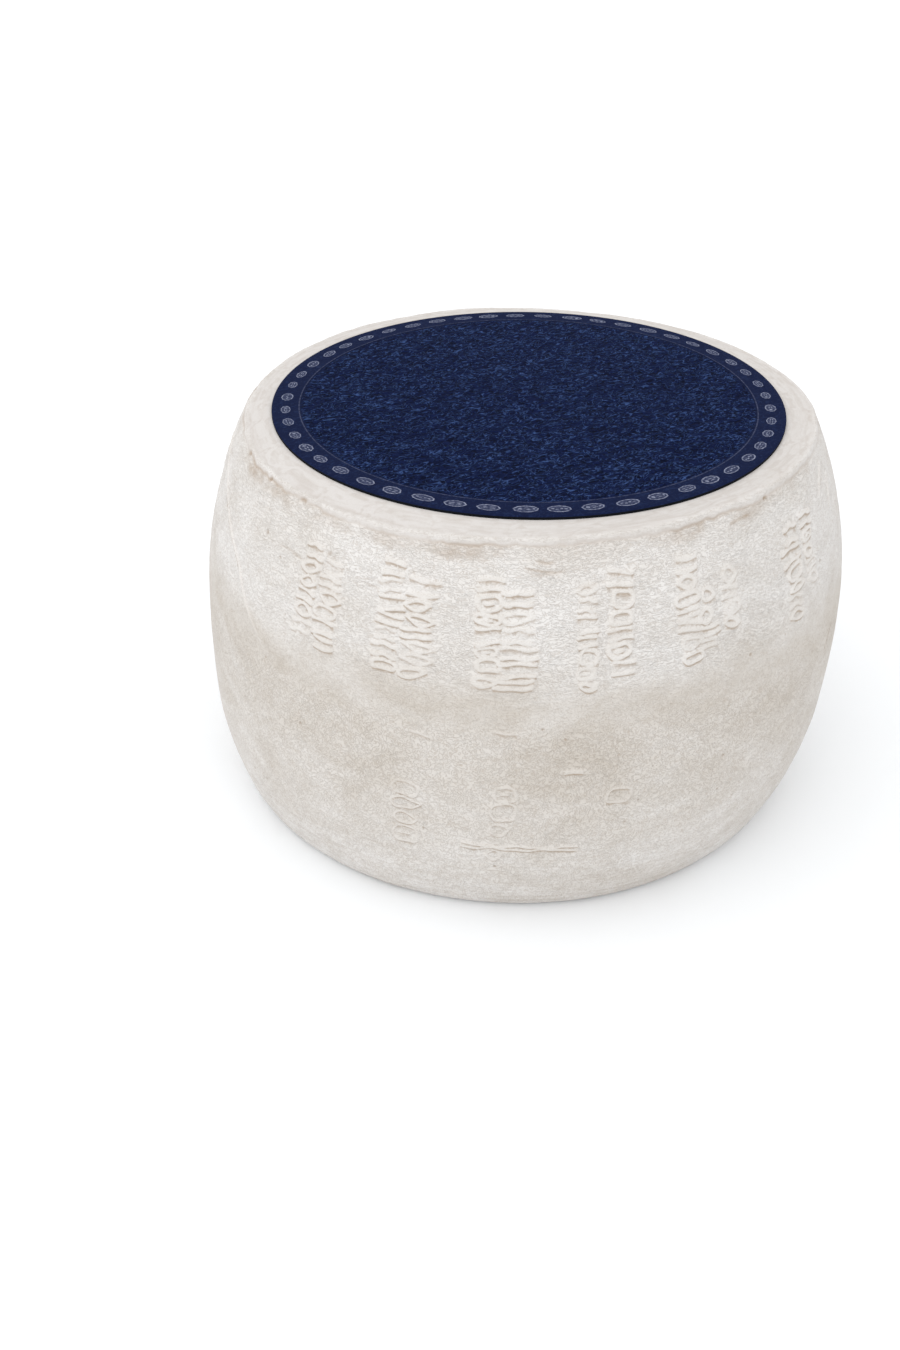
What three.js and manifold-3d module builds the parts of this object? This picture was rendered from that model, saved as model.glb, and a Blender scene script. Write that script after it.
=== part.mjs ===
// A whole wheel of hard cheese: a slumped barrel of rind with raised mould marks round its side,
// and a round leatherette label lying on its upper face.
// Millimetres, +Z up. The origin is the centre of the base.

import * as THREE from 'three';
import Module from 'manifold-3d';
import { mergeVertices } from 'three/addons/utils/BufferGeometryUtils.js';

const wasm = await Module();
wasm.setup();

// ---- driving dimensions ----

const FACE_HEIGHT = 255.6; // base to upper face
const BULGE_RADIUS = 210.3; // widest turn of the side
const BULGE_HEIGHT = 116; // the widest turn lies a little below the middle, because the wheel has slumped
const SHOULDER_FALL = 31.2; // how far the side draws in from the bulge to the upper face
const BASE_FALL = 23.3; // and to the base
const SHOULDER_POWER = 2.3; // how late the side draws in: a higher power gives a flatter belly
const BASE_POWER = 2.76;
const SHOULDER_ROUND = 3.2; // rounding of the shoulder edge, along each side of it
const BASE_ROUND = 6;
const LEAN = 5.9; // the base sits this far to -X of the upper face
const BELLY_SHIFT = 1.8; // and the belly this far to +X of the line between them
const RIM_LIFT = 3.4; // the rim stands this much high at +X and low at -X
const RIM_SAG = 1.3; // the rim lies this far below the flat of the face, all round
const LABEL_RADIUS = 161;
const FLAT_RADIUS = LABEL_RADIUS + 1.5; // the part of the upper face that is level, under the label
const LABEL_THICKNESS = 2;
const LABEL_BORDER = 16.7; // from the label's edge to the pressed line round its field
const PRESSED_LINE_DEPTH = 0.5;
const PRESSED_LINE_WIDTH = 1.6;

// ---- mould marks: raised figures in paired stacks round the upper side, and a few larger ones below ----

const MARK_RELIEF = 1.0; // how far a figure stands out of the rind
const MARK_ROOT = 3; // how deep its root is sunk, so that it fuses with the rind
const STACK_FRONT_ANGLES = [-35.6, -19, -2.7, 13.4, 31.5, 55]; // degrees from -Y towards +X, unevenly spaced
const STACK_COUNT = 20; // round the whole wheel; the others are spread evenly over what is left
const STACK_ROWS = 7;
const STACK_LOW = 178.5; // height of the lowest row's middle
const STACK_PITCH = 9; // from row to row
const STACK_HALF_PITCH = 8.8; // each stack is two columns, this far to either side of its middle
const MARK_WIDTH = 14.4;
const MARK_HEIGHT = 5.6;
const LOW_MARK_WIDTH = 20;
const LOW_MARK_HEIGHT = 8;
const LOW_STACKS = [
  // angle, height of the lowest row's middle, rows
  [-17.2, 62, 4],
  [-1.4, 74, 3],
  [17.2, 101, 1],
  [151, 64, 4],
  [168, 74, 3],
];
const LOW_PITCH = 12.5;
const LONG_MARKS = [
  // angle of its middle, height, length
  [1.4, 60, 66],
  [184, 62, 58],
];
const LONG_MARK_HEIGHT = 5;
const LONG_MARK_OVERLAP = 0.6; // its three straight lengths follow the curve of the side and run into each other

// ---- fineness ----

const TURNS = 72; // facets round the wheel
const SIDE_ROWS = 12;
const ROUND_STEPS = 3;

const RIND_COLOUR = 0xd9d4cd;
const LABEL_COLOUR = 0x1f2848;

// ---- shape of the side ----

function sideRadius(z) {
  const above = z > BULGE_HEIGHT;
  const reach = above ? (z - BULGE_HEIGHT) / (FACE_HEIGHT - BULGE_HEIGHT) : (BULGE_HEIGHT - z) / BULGE_HEIGHT;
  return BULGE_RADIUS - (above ? SHOULDER_FALL * reach ** SHOULDER_POWER : BASE_FALL * reach ** BASE_POWER);
}

// A rounded corner between a level face at the height `faceZ` and the side at the height `sideZ`.
function cornerRound(faceZ, sideZ, round) {
  const corner = new THREE.Vector2(sideRadius(faceZ), faceZ);
  return new THREE.QuadraticBezierCurve(
    new THREE.Vector2(corner.x - round, faceZ),
    corner,
    new THREE.Vector2(sideRadius(sideZ), sideZ),
  ).getPoints(ROUND_STEPS);
}

// Half the wheel's outline, from the axis at the base to the axis at the upper face.
function wheelOutline() {
  const sideLow = BASE_ROUND;
  const sideHigh = FACE_HEIGHT - SHOULDER_ROUND;
  const side = [];
  for (let i = 1; i < SIDE_ROWS; i++) {
    const z = THREE.MathUtils.lerp(sideLow, sideHigh, i / SIDE_ROWS);
    side.push(new THREE.Vector2(sideRadius(z), z));
  }
  return [
    new THREE.Vector2(0, 0),
    ...cornerRound(0, sideLow, BASE_ROUND),
    ...side,
    ...cornerRound(FACE_HEIGHT, sideHigh, SHOULDER_ROUND).reverse(),
    new THREE.Vector2(FLAT_RADIUS, FACE_HEIGHT),
    new THREE.Vector2(0, FACE_HEIGHT),
  ];
}

// Moves a point of the true turned form to where the uneven, hand-made wheel has it.
function settle(p) {
  const rise = p.z / FACE_HEIGHT;
  const radius = Math.hypot(p.x, p.y);
  const outward = THREE.MathUtils.smoothstep(radius, FLAT_RADIUS, sideRadius(FACE_HEIGHT));
  const upward = THREE.MathUtils.smoothstep(p.z, 0.6 * FACE_HEIGHT, FACE_HEIGHT);
  const angle = Math.atan2(p.x, -p.y);
  const belly = Math.sin(Math.PI * rise) * outward;
  const swell = 1 + (belly * (0.7 * Math.sin(2 * angle + 0.6) + 0.5 * Math.sin(3 * angle + 2.1))) / BULGE_RADIUS;
  return new THREE.Vector3(
    p.x * swell - LEAN * (1 - rise) + BELLY_SHIFT * 4 * rise * (1 - rise),
    p.y * swell,
    p.z + outward * upward * (RIM_LIFT * Math.sin(angle) - RIM_SAG),
  );
}

// The point of the settled side at an angle (degrees from -Y towards +X) and a height.
function sidePoint(angle, z) {
  const a = THREE.MathUtils.degToRad(angle);
  const r = sideRadius(z);
  return settle(new THREE.Vector3(r * Math.sin(a), -r * Math.cos(a), z));
}

// ---- solids ----

function toSolid(geometry) {
  geometry.deleteAttribute('normal');
  geometry.deleteAttribute('uv');
  const merged = mergeVertices(geometry, 1e-4);
  const index = merged.index.array;
  const triangles = [];
  for (let i = 0; i < index.length; i += 3) {
    const [a, b, c] = index.subarray(i, i + 3);
    if (a !== b && b !== c && c !== a) triangles.push(a, b, c);
  }
  return new wasm.Manifold(
    new wasm.Mesh({
      numProp: 3,
      vertProperties: new Float32Array(merged.attributes.position.array),
      triVerts: new Uint32Array(triangles),
    }),
  );
}

function toGeometry(solid) {
  const mesh = solid.getMesh();
  const geometry = new THREE.BufferGeometry();
  geometry.setAttribute('position', new THREE.BufferAttribute(mesh.vertProperties, 3));
  geometry.setIndex(new THREE.BufferAttribute(mesh.triVerts, 1));
  return geometry;
}

function turned(outline) {
  return new THREE.LatheGeometry(outline, TURNS).rotateX(Math.PI / 2);
}

function wheelCore() {
  const geometry = turned(wheelOutline());
  const position = geometry.attributes.position;
  const p = new THREE.Vector3();
  for (let i = 0; i < position.count; i++) {
    p.copy(settle(p.fromBufferAttribute(position, i)));
    position.setXYZ(i, p.x, p.y, p.z);
  }
  return toSolid(geometry);
}

// ---- figures, each an outline of four corners about its own middle ----

const corners = (points) => new THREE.Shape(points.map(([x, y]) => new THREE.Vector2(x, y)));

function barFigure(w, h) {
  const low = -0.32 * h;
  const high = 0.32 * h;
  return corners([[-w / 2, low], [w / 2, low], [w / 2, high], [-w / 2, high]]);
}

function lozengeFigure(w, h) {
  return corners([[-w / 2, 0], [0, -h / 2], [w / 2, 0], [0, h / 2]]);
}

function slantFigure(w, h) {
  return corners([[-w / 2, -h / 2], [w / 2, 0], [w / 2, h / 2], [-w / 2, 0]]);
}

function wedgeFigure(w, h) {
  return corners([[-w / 2, -0.16 * h], [w / 2, -h / 2], [w / 2, h / 2], [-w / 2, 0.16 * h]]);
}

const FIGURES = [barFigure, lozengeFigure, slantFigure, wedgeFigure];

// A figure as a solid, set into the side at an angle and a height, and level with the rind there.
function setIntoSide(shape, angle, z) {
  const here = sidePoint(angle, z);
  const along = sidePoint(angle + 0.5, z).sub(sidePoint(angle - 0.5, z)).normalize();
  const up = sidePoint(angle, z + 1).sub(sidePoint(angle, z - 1)).normalize();
  const out = new THREE.Vector3().crossVectors(along, up).normalize();
  const place = new THREE.Matrix4().makeBasis(along, new THREE.Vector3().crossVectors(out, along), out);
  place.setPosition(here);
  return toSolid(
    new THREE.ExtrudeGeometry(shape, { depth: MARK_ROOT + MARK_RELIEF, bevelEnabled: false })
      .translate(0, 0, -MARK_ROOT)
      .applyMatrix4(place),
  );
}

function stackAngles() {
  const first = STACK_FRONT_ANGLES[0];
  const last = STACK_FRONT_ANGLES.at(-1);
  const others = STACK_COUNT - STACK_FRONT_ANGLES.length;
  const step = (360 + first - last) / (others + 1);
  return [...STACK_FRONT_ANGLES, ...Array.from({ length: others }, (_, i) => last + step * (i + 1))];
}

function stackMarks() {
  const marks = [];
  stackAngles().forEach((angle, stack) => {
    for (const side of [-1, 1])
      for (let row = 0; row < STACK_ROWS; row++) {
        const z = STACK_LOW + STACK_PITCH * row;
        const offset = THREE.MathUtils.radToDeg((side * STACK_HALF_PITCH) / sideRadius(z));
        const figure = FIGURES[(row + 2 * stack + (side + 1)) % FIGURES.length];
        marks.push(setIntoSide(figure(MARK_WIDTH, MARK_HEIGHT), angle + offset, z));
      }
  });
  return marks;
}

function lowMarks() {
  const marks = [];
  LOW_STACKS.forEach(([angle, lowest, rows], stack) => {
    for (let row = 0; row < rows; row++) {
      const figure = FIGURES[(row + stack) % FIGURES.length];
      marks.push(setIntoSide(figure(LOW_MARK_WIDTH, LOW_MARK_HEIGHT), angle, lowest + LOW_PITCH * row));
    }
  });
  for (const [angle, z, length] of LONG_MARKS)
    for (const third of [-1, 0, 1]) {
      const offset = THREE.MathUtils.radToDeg((third * length) / 3 / sideRadius(z));
      marks.push(setIntoSide(barFigure(length / 3 + LONG_MARK_OVERLAP, LONG_MARK_HEIGHT), angle + offset, z));
    }
  return marks;
}

// ---- the two pieces ----

function cheeseWheel() {
  const solid = wasm.Manifold.union([wheelCore(), ...stackMarks(), ...lowMarks()]);
  const mesh = new THREE.Mesh(
    toGeometry(solid),
    new THREE.MeshStandardMaterial({ color: RIND_COLOUR, roughness: 0.85, metalness: 0 }),
  );
  mesh.name = 'cheese_wheel';
  return mesh;
}

function topLabel() {
  const line = LABEL_RADIUS - LABEL_BORDER;
  const half = PRESSED_LINE_WIDTH / 2;
  const edge = LABEL_THICKNESS / 4;
  const outline = [
    [0, 0],
    [LABEL_RADIUS, 0],
    [LABEL_RADIUS, LABEL_THICKNESS - edge],
    [LABEL_RADIUS - edge, LABEL_THICKNESS],
    [line + half, LABEL_THICKNESS],
    [line, LABEL_THICKNESS - PRESSED_LINE_DEPTH],
    [line - half, LABEL_THICKNESS],
    [0, LABEL_THICKNESS],
  ].map(([r, z]) => new THREE.Vector2(r, z));
  const mesh = new THREE.Mesh(
    toGeometry(toSolid(turned(outline))),
    new THREE.MeshStandardMaterial({ color: LABEL_COLOUR, roughness: 0.6, metalness: 0 }),
  );
  mesh.name = 'top_label';
  mesh.position.z = FACE_HEIGHT;
  return mesh;
}

const wheel = cheeseWheel();
wheel.geometry.computeBoundingBox();
const middle = wheel.geometry.boundingBox.getCenter(new THREE.Vector3());

const group = new THREE.Group();
group.add(wheel, topLabel());
group.position.set(-middle.x, -middle.y, 0);

export default group;
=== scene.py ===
"""A whole wheel of hard cheese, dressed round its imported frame.

The wheel is a slumped barrel of pale, finely wrinkled rind with raised mould marks round its side, and a
round label of navy leatherette lies on its upper face. Lengths are in metres, +Z is up and the origin is
the middle of the base. Angles round the wheel are in degrees from -Y towards +X.
"""

from __future__ import annotations

import itertools
import logging
import math
from collections.abc import Iterator
from dataclasses import dataclass
from enum import Enum

import bpy
import numpy as np
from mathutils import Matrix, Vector


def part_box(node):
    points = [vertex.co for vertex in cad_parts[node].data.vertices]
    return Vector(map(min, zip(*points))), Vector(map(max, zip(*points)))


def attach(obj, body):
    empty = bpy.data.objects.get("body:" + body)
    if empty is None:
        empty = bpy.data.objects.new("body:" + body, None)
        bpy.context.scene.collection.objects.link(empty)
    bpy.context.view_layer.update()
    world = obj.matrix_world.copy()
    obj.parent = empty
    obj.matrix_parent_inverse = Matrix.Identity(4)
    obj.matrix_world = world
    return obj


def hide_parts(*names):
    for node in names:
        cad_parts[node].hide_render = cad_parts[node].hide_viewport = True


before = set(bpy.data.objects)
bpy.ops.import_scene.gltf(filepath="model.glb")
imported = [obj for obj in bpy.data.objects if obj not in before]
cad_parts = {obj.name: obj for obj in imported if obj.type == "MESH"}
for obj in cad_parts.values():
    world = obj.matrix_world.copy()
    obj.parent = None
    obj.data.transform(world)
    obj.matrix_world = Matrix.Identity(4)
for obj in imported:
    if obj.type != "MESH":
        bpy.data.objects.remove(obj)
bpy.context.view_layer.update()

log = logging.getLogger("cheese_wheel")

MM = 0.001
Line = list[tuple[float, float]]
Route = tuple[tuple[float, float], ...]
Oval = tuple[float, float, float, float, float]
Socket = bpy.types.NodeSocket


# ---- small tools ----


def to_linear(code: str) -> tuple[float, float, float, float]:
    """Turn an sRGB hex colour into the linear colour that a shader takes.

    Args:
        code: The colour as "#rrggbb".

    Returns:
        Red, green, blue and an alpha of 1.
    """
    channels = [int(code[i : i + 2], 16) / 255 for i in (1, 3, 5)]
    red, green, blue = (c / 12.92 if c <= 0.04045 else ((c + 0.055) / 1.055) ** 2.4 for c in channels)
    return red, green, blue, 1.0


def select_only(*pieces: bpy.types.Object) -> None:
    """Deselect everything, then select some objects and make the first active.

    Args:
        pieces: The objects to work on.
    """
    bpy.ops.object.select_all(action="DESELECT")
    for piece in pieces:
        piece.select_set(True)
    bpy.context.view_layer.objects.active = pieces[0]


def select_faces(piece: bpy.types.Object, chosen: np.ndarray) -> None:
    """Enter edit mode with only some faces selected.

    Args:
        piece: The mesh object.
        chosen: For each face whether it is selected.
    """
    select_only(piece)
    bpy.ops.object.mode_set(mode="EDIT")
    bpy.ops.mesh.select_mode(type="FACE")
    bpy.ops.mesh.select_all(action="DESELECT")
    bpy.ops.object.mode_set(mode="OBJECT")
    piece.data.polygons.foreach_set("select", chosen)
    bpy.ops.object.mode_set(mode="EDIT")


def apply_modifier(piece: bpy.types.Object, kind: str, **settings: object) -> None:
    """Add a modifier with its settings and apply it.

    Args:
        piece: The object that takes the modifier.
        kind: The modifier's type name.
        settings: The modifier's own properties.
    """
    select_only(piece)
    modifier = piece.modifiers.new(kind.lower(), kind)
    for name, value in settings.items():
        setattr(modifier, name, value)
    bpy.ops.object.modifier_apply(modifier=modifier.name)


def read_rows(items: bpy.types.bpy_prop_collection, what: str) -> np.ndarray:
    """Read a place or direction of every vertex or face.

    Args:
        items: A mesh's vertices or faces.
        what: "co", "normal" or "center".

    Returns:
        One row of x, y and z for each.
    """
    values = np.empty(len(items) * 3, np.float32)
    items.foreach_get(what, values)
    return values.reshape(-1, 3).astype(float)


def write_points(piece: bpy.types.Object, points: np.ndarray) -> None:
    """Move the vertices of a mesh to one row of x, y and z for each."""
    piece.data.vertices.foreach_set("co", points.astype(np.float32).ravel())
    piece.data.update()


def write_attribute(piece: bpy.types.Object, name: str, values: np.ndarray) -> None:
    """Keep one number for each vertex under a name, for a material to read."""
    attribute = piece.data.attributes.new(name, "FLOAT", "POINT")
    attribute.data.foreach_set("value", values.astype(np.float32))


def smooth_step(low: float, high: float, values: np.ndarray) -> np.ndarray:
    """Rise smoothly from 0 where a value is low to 1 where it is high. Low may be the larger of the two."""
    t = np.clip((values - low) / (high - low), 0, 1)
    return t * t * (3 - 2 * t)


def bell(values: np.ndarray, middle: float, width: float) -> np.ndarray:
    """1 at the middle, falling smoothly to nearly 0 at twice the width from it."""
    return np.exp(-(((values - middle) / width) ** 2))


def soft_noise(points: np.ndarray, size: float | tuple[float, float, float], seed: int) -> np.ndarray:
    """Smooth random unevenness in space.

    Args:
        points: One row of x, y and z for each place.
        size: How large its lumps are, in metres, along all axes or along each.
        seed: Picks one of many patterns.

    Returns:
        A number from -1 to 1 for each place.
    """
    grid = points / np.asarray(size)
    cell = np.floor(grid).astype(np.int64)
    part = grid - cell
    part = part * part * (3 - 2 * part)
    total = np.zeros(len(points))
    for corner in itertools.product((0, 1), repeat=3):
        key = (cell + corner) @ np.array([73856093, 19349663, 83492791]) + seed * 2654435761
        key = (key ^ (key >> 15)) * 2246822519 & 0xFFFFFFFF
        key = (key ^ (key >> 13)) * 3266489917 & 0xFFFFFFFF
        weight = np.prod(np.where(corner, part, 1 - part), axis=1)
        total += weight * ((key >> 8 & 0xFFFF) / 32767.5 - 1)
    return total


def distance_to_line(u: np.ndarray, v: np.ndarray, corners: Line) -> np.ndarray:
    """Distance from places on a flat sheet to a line of straight lengths.

    Args:
        u: First coordinate of each place.
        v: Second coordinate of each place.
        corners: The line's corners, in order.

    Returns:
        The distance of each place from the nearest length.
    """
    nearest = np.full(len(u), np.inf)
    for (u0, v0), (u1, v1) in itertools.pairwise(corners):
        du, dv = u1 - u0, v1 - v0
        share = np.clip(((u - u0) * du + (v - v0) * dv) / (du * du + dv * dv), 0, 1)
        nearest = np.minimum(nearest, np.hypot(u - u0 - share * du, v - v0 - share * dv))
    return nearest


# ---- form ----


@dataclass(frozen=True)
class WheelForm:
    """The slumped barrel that the wheel has settled into, as a turned outline and how it leans.

    Attributes:
        axis: The x and y of the label's middle, which is the axis that the outline is turned about.
        height: From the base to the upper face.
        bulge_radius: Radius of the widest turn of the side.
        label_radius: Radius of the label.
        label_thickness: Thickness of the label.
        lean: How far the base has slid from under the label.
        belly_shift: How far the middle of the side bulges to one side.
        rim_lift: How much higher the rim is on one side than it should be, and lower on the other.
        rim_warp: How far it waves up and down twice round the wheel.
        rim_sag: How far it has sunk all round.
        swells: Waves round the side: how many, their height in millimetres and their phase.
        flat_margin: How far the level part of the upper face reaches past the label.
        station_step: Distance between the outline's points up the side.
    """

    axis: tuple[float, float]
    height: float
    bulge_radius: float
    label_radius: float
    label_thickness: float
    bulge_height: float = 116 * MM
    shoulder_fall: float = 31.2 * MM
    base_fall: float = 23.3 * MM
    shoulder_power: float = 2.3
    base_power: float = 2.76
    shoulder_round: float = 3.2 * MM
    base_round: float = 6 * MM
    lean: float = 5.9 * MM
    belly_shift: float = 1.8 * MM
    rim_lift: float = 2.4 * MM
    rim_warp: float = 2.0 * MM
    rim_sag: float = 1.3 * MM
    swells: tuple[tuple[int, float, float], ...] = ((2, 0.7, 0.6), (3, 0.5, 2.1))
    flat_margin: float = 1.5 * MM
    station_step: float = 9 * MM

    @classmethod
    def from_frame(cls) -> WheelForm:
        """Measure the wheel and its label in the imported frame."""
        low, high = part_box("top_label")
        wheel_low, wheel_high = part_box("cheese_wheel")
        return cls(
            axis=((low.x + high.x) / 2, (low.y + high.y) / 2),
            height=low.z,
            bulge_radius=(wheel_high.x - wheel_low.x) / 2,
            label_radius=(high.x - low.x) / 2,
            label_thickness=high.z - low.z,
        )

    @property
    def rim_radius(self) -> float:
        """Radius where the upper face meets the side."""
        return float(self.side_radius(self.height))

    @property
    def flat_radius(self) -> float:
        """Radius of the level part of the upper face, just wider than the label."""
        return self.label_radius + self.flat_margin

    def side_radius(self, z: float | np.ndarray) -> np.ndarray:
        """Radius of the side at a height.

        Args:
            z: Height above the base.

        Returns:
            The radius before the wheel leans.
        """
        z = np.clip(z, 0, self.height)
        up = np.clip((z - self.bulge_height) / (self.height - self.bulge_height), 0, 1)
        down = np.clip((self.bulge_height - z) / self.bulge_height, 0, 1)
        fall = self.shoulder_fall * up**self.shoulder_power + self.base_fall * down**self.base_power
        return self.bulge_radius - fall

    def corner(self, face: float, side: float, round_by: float) -> Line:
        """Round the corner between a level face and the side.

        Args:
            face: Height of the level face.
            side: Height where the round meets the side.
            round_by: How far the round reaches in along the face.

        Returns:
            Radius and height of each point, from the face to the side.
        """
        start = np.array([self.side_radius(face) - round_by, face])
        middle = np.array([self.side_radius(face), face])
        end = np.array([self.side_radius(side), side])
        steps = (0, 0.35, 0.65, 1)
        return [tuple((1 - t) ** 2 * start + 2 * t * (1 - t) * middle + t**2 * end) for t in steps]

    def outline(self) -> Line:
        """Half the wheel's outline, from near the middle of the base to near the middle of the upper face."""
        low, high = self.base_round, self.height - self.shoulder_round
        heights = np.linspace(low, high, round((high - low) / self.station_step) + 1)[1:-1]
        base = [(self.side_radius(0) * share, 0.0) for share in (0.2, 0.5, 0.8, 0.92)]
        face = [(self.rim_radius - inset * MM, self.height) for inset in (6, 9.5, 13)]
        middle = [(self.label_radius * share, self.height) for share in (1, 0.9, 0.5, 0.2)]
        return [
            *base,
            *self.corner(0, low, self.base_round),
            *((float(self.side_radius(z)), float(z)) for z in heights),
            *reversed(self.corner(self.height, high, self.shoulder_round)),
            *face,
            (self.flat_radius, self.height),
            *middle,
        ]

    def settle(self, points: np.ndarray) -> np.ndarray:
        """Move points of the true turned form to where the uneven, hand-made wheel has them.

        Args:
            points: One row of x, y and z for each point, about the axis.

        Returns:
            The places in the frame.
        """
        x, y, z = points.T
        rise = z / self.height
        angle = np.arctan2(x, -y)
        outward = smooth_step(self.flat_radius, self.rim_radius, np.hypot(x, y))
        upward = smooth_step(0.6 * self.height, self.height, z)
        swell = sum(high * np.sin(waves * angle + phase) for waves, high, phase in self.swells)
        widen = 1 + np.sin(np.pi * np.clip(rise, 0, 1)) * outward * swell * MM / self.bulge_radius
        shift = -self.lean * (1 - rise) + self.belly_shift * 4 * rise * (1 - rise)
        tip = self.rim_lift * np.sin(angle) + self.rim_warp * np.sin(2 * angle) - self.rim_sag
        lift = outward * upward * tip
        return np.column_stack([x * widen + shift + self.axis[0], y * widen + self.axis[1], z + lift])


# ---- what stands out of the skin ----


class Figure(Enum):
    """A plain ornament that the mould presses into the side."""

    LOOP = "a long loop"
    NEST = "a long loop round a short bar"
    LEAF = "two arcs that meet"
    BARS = "two bars"
    RIPPLES = "two rippled bars"
    DROP = "a loop with one sharp end"
    TWIST = "two waves that cross"

    def lines(self) -> list[Line]:
        """Draw the figure in a box that is one wide and one high, about its middle."""
        across = np.linspace(-0.5, 0.5, 9)
        around = np.linspace(0, 2 * np.pi, 17)
        loop = [(0.5 * np.sign(math.cos(t)) * abs(math.cos(t)) ** 0.5, 0.5 * math.sin(t)) for t in around]
        if self is Figure.LOOP:
            return [loop]
        if self is Figure.NEST:
            return [loop, [(-0.14, 0.0), (0.14, 0.0)]]
        if self is Figure.LEAF:
            return [[(a, side * 0.5 * math.cos(np.pi * a)) for a in across] for side in (-1, 1)]
        if self is Figure.BARS:
            return [[(-0.5, side * 0.5), (0.5, side * 0.4)] for side in (-1, 1)]
        if self is Figure.RIPPLES:
            return [[(a, side * 0.42 + 0.06 * math.cos(3 * np.pi * a)) for a in across] for side in (-1, 1)]
        if self is Figure.DROP:
            return [[(0.5 * math.cos(t), 0.5 * math.sin(t) * math.sin(t / 2) ** 0.8) for t in around]]
        return [[(a, side * 0.45 * math.cos(2.2 * np.pi * a)) for a in across] for side in (-1, 1)]


@dataclass(frozen=True)
class Feature:
    """Something that stands out of the side or is sunk into it, drawn on the skin about its own middle.

    Attributes:
        angle: Degrees round the wheel.
        z: Height above the base.
    """

    angle: float
    z: float

    def reach(self) -> tuple[float, float]:
        """How far it reaches from its middle, along the side and up it."""
        raise NotImplementedError

    def height_at(self, u: np.ndarray, v: np.ndarray) -> np.ndarray:
        """How far it stands out, or below 0 is sunk, at distances along and up the side from its middle."""
        raise NotImplementedError


@dataclass(frozen=True)
class Mark(Feature):
    """One raised figure of the mould, with soft strokes that have flat tops.

    Attributes:
        figure: The ornament.
        width: Its width.
        height: Its height up the side.
        tilt: Degrees that it is turned by.
        stroke: Width of its strokes.
        relief: How far they stand out.
        pad: How far the ground between them stands out, as a share of the relief.
    """

    figure: Figure
    width: float
    height: float
    tilt: float
    stroke: float
    relief: float
    pad: float = 0.0

    def reach(self) -> tuple[float, float]:
        """How far the figure reaches, with room for its turn."""
        return self.width * 0.5 + self.stroke, self.height * 0.5 + self.width * 0.12 + self.stroke

    def height_at(self, u: np.ndarray, v: np.ndarray) -> np.ndarray:
        """Height of the strokes, which the soft paste has bent a little. See Feature."""
        turn = math.radians(self.tilt)
        along = u * math.cos(turn) + v * math.sin(turn)
        up = v * math.cos(turn) - u * math.sin(turn)
        sway = self.stroke / 5
        up = up + sway * np.sin(along / (1.3 * self.stroke) + 7 * self.angle)
        along = along + sway * np.sin(up / self.stroke + 900 * self.z)
        nearest = np.full(len(u), np.inf)
        for line in self.figure.lines():
            corners = [(a * (self.width - self.stroke), b * (self.height - self.stroke)) for a, b in line]
            nearest = np.minimum(nearest, distance_to_line(along, up, corners))
        wide = self.stroke * (1 + 0.18 * np.sin(along / self.stroke + 3 * self.angle))
        strokes = smooth_step(0, 1, (0.78 * wide - nearest) / (0.6 * wide))
        inset = np.minimum(self.width / 2 - np.abs(along), self.height / 2 - np.abs(up))
        return self.relief * np.maximum(strokes, self.pad * smooth_step(-0.5 * wide, 0.5 * wide, inset))


@dataclass(frozen=True)
class Trace(Feature):
    """A thin ridge, or with a height below 0 a groove, that fades at both ends."""

    corners: Route
    width: float
    height: float

    @classmethod
    def through(cls, form: WheelForm, route: Route, width: float, height: float) -> Trace:
        """Lay a trace through places on the side.

        Args:
            form: The wheel.
            route: Degrees round the wheel and height in millimetres of each corner.
            width: Its width in millimetres.
            height: Its height in millimetres.

        Returns:
            The trace.
        """
        angle = sum(a for a, _ in route) / len(route)
        z = sum(h for _, h in route) / len(route) * MM
        radius = float(form.side_radius(z))
        corners = tuple((math.radians(a - angle) * radius, h * MM - z) for a, h in route)
        return cls(angle, z, corners, width * MM, height * MM)

    def reach(self) -> tuple[float, float]:
        """How far the trace reaches."""
        wide = max(abs(u) for u, _ in self.corners)
        high = max(abs(v) for _, v in self.corners)
        return wide + self.width, high + self.width

    def height_at(self, u: np.ndarray, v: np.ndarray) -> np.ndarray:
        """Height of the ridge or depth of the groove. See Feature."""
        (first_u, first_v), (last_u, last_v) = self.corners[0], self.corners[-1]
        length = math.hypot(last_u - first_u, last_v - first_v)
        to_end = np.minimum(np.hypot(u - first_u, v - first_v), np.hypot(u - last_u, v - last_v))
        fade = smooth_step(-0.02 * length, 0.16 * length, to_end)
        away = distance_to_line(u, v, list(self.corners))
        return self.height * fade * smooth_step(0.8 * self.width, 0.1 * self.width, away)


@dataclass(frozen=True)
class Pit(Feature):
    """A small dimple."""

    radius: float
    depth: float

    def reach(self) -> tuple[float, float]:
        """How far the dimple reaches."""
        return self.radius, self.radius

    def height_at(self, u: np.ndarray, v: np.ndarray) -> np.ndarray:
        """Depth of the dimple, below 0. See Feature."""
        return -self.depth * smooth_step(self.radius, 0.2 * self.radius, np.hypot(u, v))


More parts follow.
